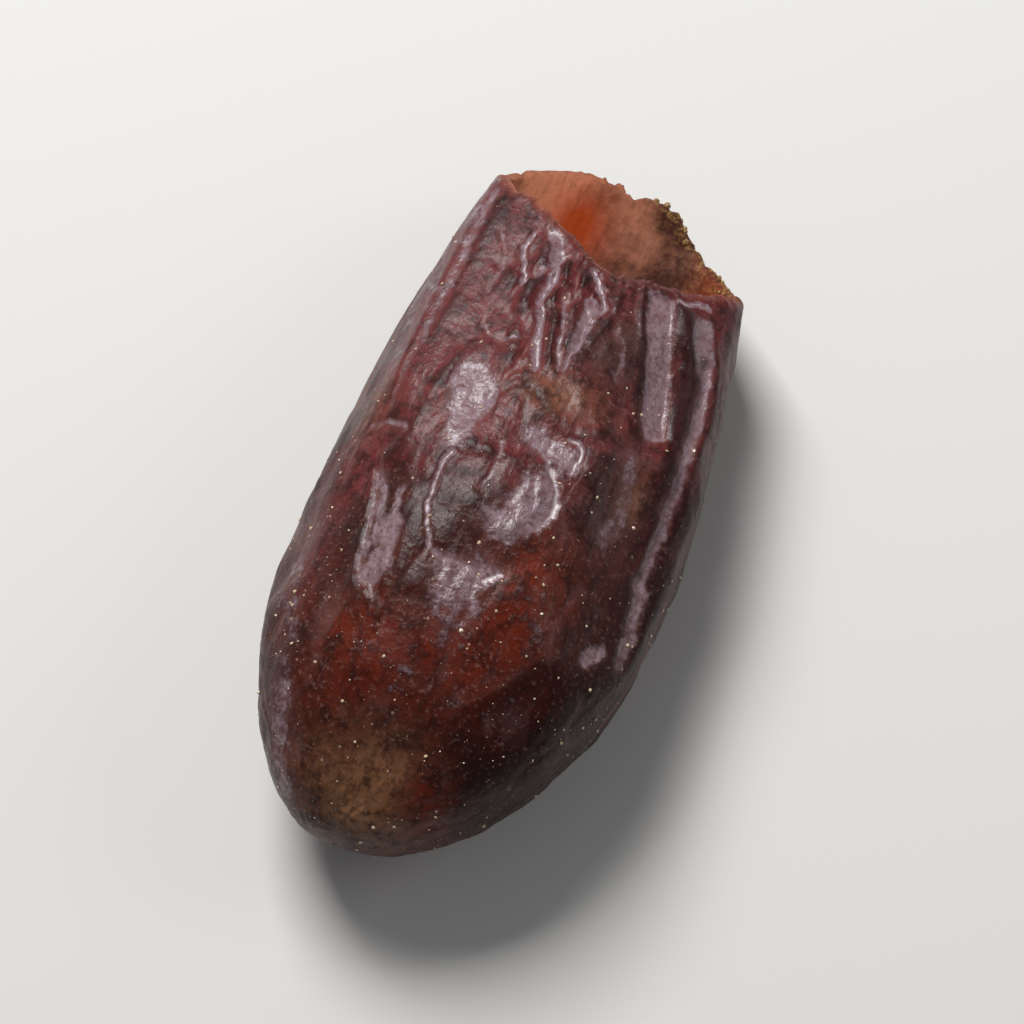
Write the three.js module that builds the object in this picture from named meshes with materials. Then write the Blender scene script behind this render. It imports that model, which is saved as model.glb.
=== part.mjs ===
// A pitted date lying on its broad side. The fruit is one soft solid: an oval body, pressed flat by its
// neighbours in the box, with an open mouth where the stone was pushed out and the hollow that it left.
// Millimetres. Width runs along X, length along Y with the mouth at +Y, and thickness along Z, from z = 0.
import * as THREE from "three";
import { ParametricGeometry } from "three/addons/geometries/ParametricGeometry.js";

// Driving dimensions of the body.
const TIP_LENGTH = 16.5; // rounded tip to the widest section
const TAPER_LENGTH = 18.9; // widest section to the corners of the mouth
const HALF_WIDTH = 10.15;
const RISE = 7.5; // axis to the top of the widest section
const DROP = 7.1; // axis to the underside of the widest section
const AXIS_HEIGHT = 6.6; // less than DROP, so the underside lies flat where it touches
const TIP_BEND = -1.3; // how far the tip leans to the left of the axis
const SQUARENESS = 2.35; // exponent of the sections: 2 is an ellipse, and more is boxier

// The mouth: a wide slit between two lips. The upper lip stands back and the lower one runs on.
const MOUTH_HALF_WIDTH = 7.7;
const MOUTH_HALF_HEIGHT = 3.8;
const LIP_WALL = 1.3; // thickness of the flesh at the rim
const LIP_BACK = 2.9; // how far the upper lip stands back from the corners of the mouth
const LIP_FORWARD = 3.9; // how far the lower lip runs on past them
const LIP_TURN = 18; // degrees that the slant is turned, so the upper lip dips right of centre
const LIP_SLANT_START = 4; // place along Y where the slant begins

// The hollow that the stone left: a blind cavity, straight along Y.
const HOLLOW_HALF_WIDTH = 4.4;
const HOLLOW_HALF_HEIGHT = 3.3;
const HOLLOW_DEPTH = 25.5; // from the corners of the mouth to its closed end
const HOLLOW_NECK = 9; // how far behind the mouth it narrows to its own width
const HOLLOW_SQUARENESS = 2.7;

// Flats pressed into the skin: the way each one faces round the body in degrees, its distance from the axis
// at a place along Y, how that distance leans along Y, and how fast the flat fades away from that place.
const FLATS = [
  { faces: 90, distance: 6.75, along: 6, lean: -0.06, fade: 0.006 }, // broad upper face
  { faces: 146, distance: 7.1, along: 11, lean: -0.05, fade: 0.006 }, // bevel on the left shoulder
  { faces: 64, distance: 6.7, along: 10, lean: -0.12, fade: 0.012 }, // strip on the right shoulder
  { faces: 352, distance: 9.6, along: -9, lean: 0.42, fade: 0 }, // slanting end, right of the tip
  { faces: 188, distance: 9.1, along: -7, lean: 0.4, fade: 0 }, // and left of it
  { faces: 222, distance: 7.7, along: -6, lean: 0, fade: 0.01 }, // left underside
  { faces: 318, distance: 7.8, along: 4, lean: 0, fade: 0.01 }, // right underside
];
const FLAT_EDGE = 0.7; // how softly a flat turns into the round skin
const FLAT_REACH = 0.2; // cosine of the widest turn from a flat at which it still presses

// Long folds where the skin sank as it dried: the way each faces, its depth, its width in degrees, and its
// ends along Y.
const FOLDS = [
  { faces: 46, depth: 0.8, width: 9, from: 1, to: 18 },
  { faces: 118, depth: 0.3, width: 10, from: -2, to: 15 },
  { faces: 172, depth: 0.35, width: 14, from: -9, to: 12 },
  { faces: 210, depth: 0.4, width: 14, from: -12, to: 8 },
  { faces: 295, depth: 0.4, width: 13, from: -4, to: 14 },
  { faces: 336, depth: 0.4, width: 13, from: -10, to: 9 },
];
const FOLD_FADE = 3; // length over which a fold runs out
const FOLD_ROOM = 4; // radius under which there is less and less room for a fold, near the tip

// Mesh density: rows along the outer skin, round the lip and down the hollow, and steps round the body.
const SKIN_ROWS = 32;
const LIP_ROWS = 4;
const HOLLOW_ROWS = 13;
const STEPS_ROUND = 56;
const TIP_ROWS_SHARE = 0.52; // share of the skin's rows between the tip and the widest section

const mouthY = TAPER_LENGTH; // Y is measured from the widest section until the whole is centred
const { degToRad, lerp, smoothstep } = THREE.MathUtils;

// Radius of a superellipse section in the direction of an angle measured from +X towards +Z.
function sectionRadius(angle, halfWidth, rise, drop, squareness) {
  const halfHeight = Math.sin(angle) > 0 ? rise : drop;
  const across = Math.abs(Math.cos(angle)) / halfWidth;
  const up = Math.abs(Math.sin(angle)) / halfHeight;
  return (across ** squareness + up ** squareness) ** (-1 / squareness);
}

function softMin(a, b, softness) {
  const gap = Math.max(softness - Math.abs(a - b), 0) / softness;
  return Math.min(a, b) - (gap * gap * softness) / 4;
}

// Pulls the radius in to each flat that faces this way.
function pressFlats(radius, angle, y) {
  let pressed = radius;
  for (const flat of FLATS) {
    const facing = Math.cos(angle - degToRad(flat.faces));
    if (facing <= FLAT_REACH) continue;
    const past = y - flat.along;
    const distance = flat.distance + flat.lean * past + flat.fade * past * past;
    pressed = softMin(pressed, distance / facing, FLAT_EDGE);
  }
  return pressed;
}

function foldDepth(angle, y) {
  let depth = 0;
  for (const fold of FOLDS) {
    const away = Math.abs(angle - degToRad(fold.faces));
    const turn = Math.min(away, 2 * Math.PI - away) / degToRad(fold.width);
    const begun = smoothstep(y, fold.from - FOLD_FADE, fold.from + FOLD_FADE);
    const ended = smoothstep(y, fold.to - FOLD_FADE, fold.to + FOLD_FADE);
    depth += fold.depth * begun * (1 - ended) * Math.exp(-turn * turn);
  }
  return depth;
}

// A section of the outer skin, t = 0 at the tip and 1 at the mouth: a quarter ellipse, then a gentle taper.
function skinSection(t) {
  if (t < TIP_ROWS_SHARE) {
    const turn = (t / TIP_ROWS_SHARE) * (Math.PI / 2);
    const swell = Math.sin(turn);
    return {
      y: -TIP_LENGTH * Math.cos(turn),
      halfWidth: HALF_WIDTH * swell,
      rise: RISE * swell,
      drop: DROP * swell,
    };
  }
  const taper = (t - TIP_ROWS_SHARE) / (1 - TIP_ROWS_SHARE);
  const narrowing = taper * taper;
  return {
    y: mouthY * taper,
    halfWidth: lerp(HALF_WIDTH, MOUTH_HALF_WIDTH, narrowing),
    rise: lerp(RISE, MOUTH_HALF_HEIGHT, narrowing),
    drop: lerp(DROP, MOUTH_HALF_HEIGHT, narrowing),
  };
}

// A section of the hollow, t = 0 at the mouth and 1 at its closed end, which is rounded.
function hollowSection(t) {
  const behind = HOLLOW_DEPTH * t;
  const neck = smoothstep(behind, 0, HOLLOW_NECK);
  const roundEnd = Math.sqrt(1 - smoothstep(behind, HOLLOW_DEPTH - HOLLOW_NECK, HOLLOW_DEPTH) ** 2);
  const end = t < 1 ? roundEnd : 0;
  const halfHeight = lerp(MOUTH_HALF_HEIGHT - LIP_WALL, HOLLOW_HALF_HEIGHT, neck) * end;
  return {
    y: mouthY - behind,
    halfWidth: lerp(MOUTH_HALF_WIDTH - LIP_WALL, HOLLOW_HALF_WIDTH, neck) * end,
    rise: halfHeight,
    drop: halfHeight,
  };
}

// The mouth leans: everything near it moves back above the axis and forward below it.
function mouthLean(angle, y) {
  const forward = -Math.sin(angle + degToRad(LIP_TURN));
  const reach = forward > 0 ? LIP_FORWARD : LIP_BACK;
  return reach * forward * smoothstep(y, LIP_SLANT_START, mouthY);
}

// The point at a radius and angle in a section. Whatever would hang below the table is flattened on it.
function pointInSection(y, angle, radius, target) {
  const bend = TIP_BEND * Math.min(y / TIP_LENGTH, 0) ** 2; // none between the widest section and the mouth
  const height = AXIS_HEIGHT + radius * Math.sin(angle);
  target.set(bend + radius * Math.cos(angle), y + mouthLean(angle, y), Math.max(height, 0));
}

function skinPoint(t, angle, target) {
  const section = skinSection(t);
  const round = sectionRadius(angle, section.halfWidth, section.rise, section.drop, SQUARENESS);
  const size = section.halfWidth > 0 ? round : 0;
  const sunk = foldDepth(angle, section.y) * Math.min(size / FOLD_ROOM, 1);
  pointInSection(section.y, angle, pressFlats(size, angle, section.y) - sunk, target);
}

function hollowPoint(t, angle, target) {
  const section = hollowSection(t);
  const wide = section.halfWidth > 0;
  const { halfWidth, rise, drop } = section;
  const radius = wide ? sectionRadius(angle, halfWidth, rise, drop, HOLLOW_SQUARENESS) : 0;
  pointInSection(section.y, angle, radius, target);
}

// The rounded edge of the mouth: a half turn from the skin to the hollow, bulging forward.
const skinRim = new THREE.Vector3();
const hollowRim = new THREE.Vector3();
function lipPoint(t, angle, target) {
  skinPoint(1, angle, skinRim);
  hollowPoint(0, angle, hollowRim);
  target.lerpVectors(skinRim, hollowRim, (1 - Math.cos(Math.PI * t)) / 2);
  target.y += (LIP_WALL / 2) * Math.sin(Math.PI * t);
}

// One closed surface: from the tip along the skin, over the lip, and down the hollow to its end.
const rows = SKIN_ROWS + LIP_ROWS + HOLLOW_ROWS;
function datePoint(u, v, target) {
  const angle = 2 * Math.PI * (v % 1); // the last step round is the first one, exactly
  const row = u * rows;
  if (row <= SKIN_ROWS) skinPoint(row / SKIN_ROWS, angle, target);
  else if (row <= SKIN_ROWS + LIP_ROWS) lipPoint((row - SKIN_ROWS) / LIP_ROWS, angle, target);
  else hollowPoint((row - SKIN_ROWS - LIP_ROWS) / HOLLOW_ROWS, angle, target);
}

function makeDate() {
  const geometry = new ParametricGeometry(datePoint, rows, STEPS_ROUND);
  geometry.computeBoundingBox();
  const middle = geometry.boundingBox.getCenter(new THREE.Vector3());
  geometry.translate(-middle.x, -middle.y, 0); // the origin is under the middle of the fruit
  const skin = new THREE.MeshStandardMaterial({ color: 0x5a2a22, roughness: 0.38, metalness: 0 });
  const date = new THREE.Mesh(geometry, skin);
  date.name = "date";
  return date;
}

const part = new THREE.Group();
part.add(makeDate());
export default part;
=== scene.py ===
import math

import bpy
import numpy as np
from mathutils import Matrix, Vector


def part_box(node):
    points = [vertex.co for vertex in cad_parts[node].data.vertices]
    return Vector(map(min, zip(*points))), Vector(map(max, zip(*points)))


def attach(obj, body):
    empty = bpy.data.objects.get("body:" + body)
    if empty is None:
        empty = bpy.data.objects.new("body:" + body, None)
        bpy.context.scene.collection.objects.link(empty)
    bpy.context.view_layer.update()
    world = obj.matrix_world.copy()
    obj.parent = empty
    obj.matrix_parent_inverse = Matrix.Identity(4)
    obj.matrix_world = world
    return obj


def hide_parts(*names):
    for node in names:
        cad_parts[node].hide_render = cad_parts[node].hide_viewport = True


# A pitted date on a pale table. Lengths in the dictionaries are millimetres in the part's own frame: X
# across the fruit, Y from its tip to its open mouth, Z up, with the origin under the middle of the fruit.
mm = 0.001

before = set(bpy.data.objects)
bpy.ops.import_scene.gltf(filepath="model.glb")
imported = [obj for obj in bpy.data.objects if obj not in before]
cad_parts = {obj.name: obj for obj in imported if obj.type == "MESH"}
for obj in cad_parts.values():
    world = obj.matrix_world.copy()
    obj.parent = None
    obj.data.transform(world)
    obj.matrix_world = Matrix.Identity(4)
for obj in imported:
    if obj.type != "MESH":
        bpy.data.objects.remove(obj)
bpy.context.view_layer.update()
dateLow, dateHigh = (np.array(corner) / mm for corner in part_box("date"))
print("frame loaded, the date's box is", np.round(dateHigh - dateLow, 1), "mm")


cameraSetup = {
    "azimuth": 22.5,  # degrees round from -Y towards +X
    "elevation": 74,  # degrees above the table
    "lens": 200,  # long, so the fruit is seen almost without perspective
    "widthSeen": 54,  # how much of the table the picture's width takes in, at the fruit
    "aimAt": (0.3, 0.2, 6.5),
}


def makeCamera(setup):
    data = bpy.data.cameras.new("camera")
    data.lens = setup["lens"]
    camera = bpy.data.objects.new("camera", data)
    turn, rise = math.radians(setup["azimuth"]), math.radians(setup["elevation"])
    away = Vector((math.sin(turn) * math.cos(rise), -math.cos(turn) * math.cos(rise), math.sin(rise)))
    distance = setup["widthSeen"] * setup["lens"] / data.sensor_width
    camera.location = (Vector(setup["aimAt"]) + away * distance) * mm
    camera.rotation_euler = (-away).to_track_quat("-Z", "Y").to_euler()
    bpy.context.scene.collection.objects.link(camera)
    bpy.context.scene.camera = camera


makeCamera(cameraSetup)
print("camera placed")


def smoothRamp(value, start, end):
    share = np.clip((value - start) / (end - start), 0, 1)
    return share * share * (3 - 2 * share)


def cellChances(cell, seed):
    # three numbers from 0 to 1 that look random but belong to the cell and the seed
    mixed = cell[..., 0] * 73856093 ^ cell[..., 1] * 19349663 ^ cell[..., 2] * 83492791 ^ seed * 40503
    mixed = (mixed & 0xFFFFFFFF) * 2654435761 & 0xFFFFFFFF
    mixed = (mixed ^ mixed >> 15) * 2246822519 & 0xFFFFFFFF
    mixed ^= mixed >> 13
    return np.stack([mixed & 1023, mixed >> 10 & 1023, mixed >> 20 & 1023], -1) / 1023


def softNoise(points, seed):
    # gradient noise, about -1 to 1, one lump to each unit
    cell = np.floor(points).astype(np.int64)
    part = points - cell
    blend = part ** 3 * (part * (part * 6 - 15) + 10)
    total = np.zeros(points.shape[:-1])
    for corner in np.ndindex(2, 2, 2):
        slope = 2 * cellChances(cell + corner, seed) - 1
        weight = np.prod(np.where(np.array(corner) == 1, blend, 1 - blend), axis=-1)
        total += weight * np.sum(slope * (part - corner), axis=-1)
    return total * 1.3


def layeredNoise(points, seed, layers=3):
    total = np.zeros(points.shape[:-1])
    for layer in range(layers):
        total += softNoise(points * 2 ** layer, seed + layer) / 2 ** layer
    return total


# The fruit's plain form, before its wrinkles. It is close to the CAD part's: the lower lip is thinner and
# more ragged, the mouth begins to slant sooner, and the flats differ a little.
dateForm = {
    "tipLength": 16.5,  # rounded tip to the widest section
    "taperLength": 18.9,  # widest section to the corners of the mouth
    "halfWidth": 10.15,
    "rise": 7.5,  # axis to the top of the widest section
    "drop": 7.1,  # axis to its underside
    "axisHeight": 6.6,  # less than the drop, so the underside lies flat
    "tipBend": -1.3,  # the tip leans to the left
    "squareness": 2.35,  # exponent of the sections: 2 is an ellipse, and more is boxier
    "mouthHalfWidth": 7.7,
    "mouthHalfHeight": 3.8,
    "lipBack": 2.9,  # how far the upper lip stands back from the corners of the mouth
    "lipForward": 3.9,  # how far the lower lip runs on past them
    "lipTurn": 18,  # degrees that the slant of the mouth is turned
    "lipSlantStart": 0.5,  # where the slant begins, along Y from the widest section
    "wallAbove": 1.3,  # flesh behind the upper lip
    "wallBelow": 0.55,  # the lower lip is little more than skin
    "rimSteps": [  # where the rim runs forward or stands back, by the way it faces in degrees
        {"faces": 222, "width": 26, "forward": 0.85},
        {"faces": 257, "width": 9, "forward": -0.3},
        {"faces": 302, "width": 34, "forward": 1.15},
    ],
    "hollowHalfWidth": 4.4,
    "hollowHalfHeight": 3.3,
    "hollowDepth": 25.5,  # from the corners of the mouth to its closed end
    "hollowNeck": 9,  # how far behind the mouth it narrows to its own width
    "hollowSquareness": 2.7,
    # mesh density
    "skinRows": 238,
    "tipRowsShare": 0.5,  # share of the skin's rows between the tip and the widest section
    "lipRows": 14,
    "hollowRows": 42,
    "stepsRound": 300,
    "stepsCrowded": 0.3,  # how much closer the steps are on the upper face, and 0 spaces them evenly
}

# Where neighbours in the box pressed the skin flat: the way each flat faces in degrees, its distance from
# the axis at a place along Y, how that leans and curves along Y, and how softly it meets the round skin.
pressedFlats = [
    {"faces": 90, "distance": 6.75, "along": 2.5, "lean": -0.06, "fade": 0.006, "edge": 0.7},
    {"faces": 110, "distance": 5.95, "along": 8, "lean": -0.23, "fade": 0, "edge": 0.5},
    {"faces": 157, "distance": 8.75, "along": 6, "lean": -0.09, "fade": -0.004, "edge": 0.15},
    {"faces": 128, "distance": 8.0, "along": -4, "lean": 0, "fade": 0.008, "edge": 0.5},
    {"faces": 62, "distance": 6.25, "along": 9, "lean": -0.2, "fade": 0.02, "edge": 0.3},
    {"faces": 50, "distance": 7.75, "along": 0, "lean": -0.02, "fade": 0.012, "edge": 0.5},
    {"faces": 352, "distance": 9.6, "along": -12.5, "lean": 0.42, "fade": 0, "edge": 0.7},
    {"faces": 188, "distance": 9.1, "along": -10.5, "lean": 0.4, "fade": 0, "edge": 0.7},
    {"faces": 222, "distance": 7.7, "along": -9.5, "lean": 0, "fade": 0.01, "edge": 0.5},
    {"faces": 200, "distance": 9.3, "along": 6, "lean": -0.1, "fade": 0.004, "edge": 0.4},
    {"faces": 318, "distance": 7.8, "along": 0.5, "lean": 0, "fade": 0.01, "edge": 0.5},
    {"faces": 338, "distance": 9.0, "along": 6, "lean": -0.08, "fade": 0.004, "edge": 0.4},
]


def sectionRadius(angle, halfWidth, rise, drop, squareness):
    halfHeight = np.where(np.sin(angle) > 0, rise, drop)
    across = np.abs(np.cos(angle)) / np.maximum(halfWidth, 1e-9)
    up = np.abs(np.sin(angle)) / np.maximum(halfHeight, 1e-9)
    return (across ** squareness + up ** squareness) ** (-1 / squareness)


flatReach = 0.2  # cosine of the widest turn from a flat at which it still presses


def pressFlats(radius, angle, y):
    for flat in pressedFlats:
        facing = np.cos(angle - math.radians(flat["faces"]))
        past = y - flat["along"]
        distance = flat["distance"] + flat["lean"] * past + flat["fade"] * past ** 2
        reach = np.where(facing > flatReach, distance / np.maximum(facing, flatReach), 1e3)
        gap = np.maximum(flat["edge"] - np.abs(radius - reach), 0) / flat["edge"]
        radius = np.minimum(radius, reach) - gap * gap * flat["edge"] / 4
    return radius


def anglesRound(form):
    # steps round the fruit, closer together on the upper face
    even = np.linspace(0, 2 * np.pi, form["stepsRound"], endpoint=False)
    return even + form["stepsCrowded"] * np.cos(even)


def between(low, high, share):
    return low + (high - low) * share


def makeForm(form):
    # rows run from the tip over the skin, round the lip and down the hollow; columns run round the fruit
    angle = anglesRound(form)[None, :]
    widestY = dateLow[1] + form["tipLength"]

    skinShare = np.linspace(0, 1, form["skinRows"] + 1)[:, None]
    turn = np.clip(skinShare / form["tipRowsShare"], 0, 1) * np.pi / 2
    taper = np.clip((skinShare - form["tipRowsShare"]) / (1 - form["tipRowsShare"]), 0, 1)
    y = np.where(taper > 0, form["taperLength"] * taper, -form["tipLength"] * np.cos(turn))
    sizes = []
    ends = (("halfWidth", "mouthHalfWidth"), ("rise", "mouthHalfHeight"), ("drop", "mouthHalfHeight"))
    for widest, atMouth in ends:
        tapered = between(form[widest], form[atMouth], taper ** 2)
        sizes.append(np.where(taper > 0, tapered, form[widest] * np.sin(turn)))
    radius = sectionRadius(angle, *sizes, form["squareness"])
    radius = pressFlats(radius, angle, y + widestY)
    radius[0] = 0
    skin = placeInSection(form, y, angle, radius, widestY)

    below = smoothRamp(-np.sin(angle + math.radians(form["lipTurn"])), -0.4, 0.6)
    wall = between(form["wallAbove"], form["wallBelow"], below)
    hollowShare = np.linspace(0, 1, form["hollowRows"] + 1)[:, None]
    behind = form["hollowDepth"] * hollowShare
    neck = smoothRamp(behind, 0, form["hollowNeck"])
    closing = smoothRamp(behind, form["hollowDepth"] - form["hollowNeck"], form["hollowDepth"])
    roundEnd = np.sqrt(np.maximum(1 - closing ** 2, 0))
    halfWidth = between(form["mouthHalfWidth"], form["hollowHalfWidth"], neck)
    halfHeight = between(form["mouthHalfHeight"], form["hollowHalfHeight"], neck)
    squareness = between(form["squareness"], form["hollowSquareness"], neck)
    radius = sectionRadius(angle, halfWidth, halfHeight, halfHeight, squareness) - wall * (1 - neck)
    hollow = placeInSection(form, form["taperLength"] - behind, angle, radius * roundEnd, widestY)

    lipShare = np.linspace(0, 1, form["lipRows"] + 1)[1:-1, None, None]
    across = (1 - np.cos(np.pi * lipShare)) / 2
    lip = skin[-1] * (1 - across) + hollow[0] * across
    lip[..., 1] += (wall / 2)[0] * np.sin(np.pi * lipShare[..., 0])
    points = np.concatenate([skin, lip, hollow])
    flat = points.reshape(-1, 3)
    shift = (dateLow + dateHigh) / 2 - (flat.min(0) + flat.max(0)) / 2
    points[..., :2] += shift[:2]
    return points


def placeInSection(form, y, angle, radius, widestY):
    forward = -np.sin(angle + math.radians(form["lipTurn"]))
    reach = np.where(forward > 0, form["lipForward"], form["lipBack"])
    lean = reach * forward * smoothRamp(y, form["lipSlantStart"], form["taperLength"])
    bend = form["tipBend"] * np.minimum(y / form["tipLength"], 0) ** 2
    height = form["axisHeight"] + radius * np.sin(angle)
    return np.stack([bend + radius * np.cos(angle), y + widestY + lean, height], -1)


def surfaceNormals(points):
    alongRows = np.gradient(points, axis=0)
    around = (np.roll(points, -1, axis=1) - np.roll(points, 1, axis=1)) / 2
    normal = np.cross(around, alongRows)
    normal[0] = (0, -1, 0)
    normal[-1] = (0, 1, 0)
    return normal / np.maximum(np.linalg.norm(normal, axis=-1, keepdims=True), 1e-12)


def mark(path, **shape):
    return {"path": path, "height": 0, "flat": 0, "left": 0.2, "right": 0.2, "end": 1, "tilt": 0, "pale": 0,
            "square": False, "wander": 0.18, **shape}


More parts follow.
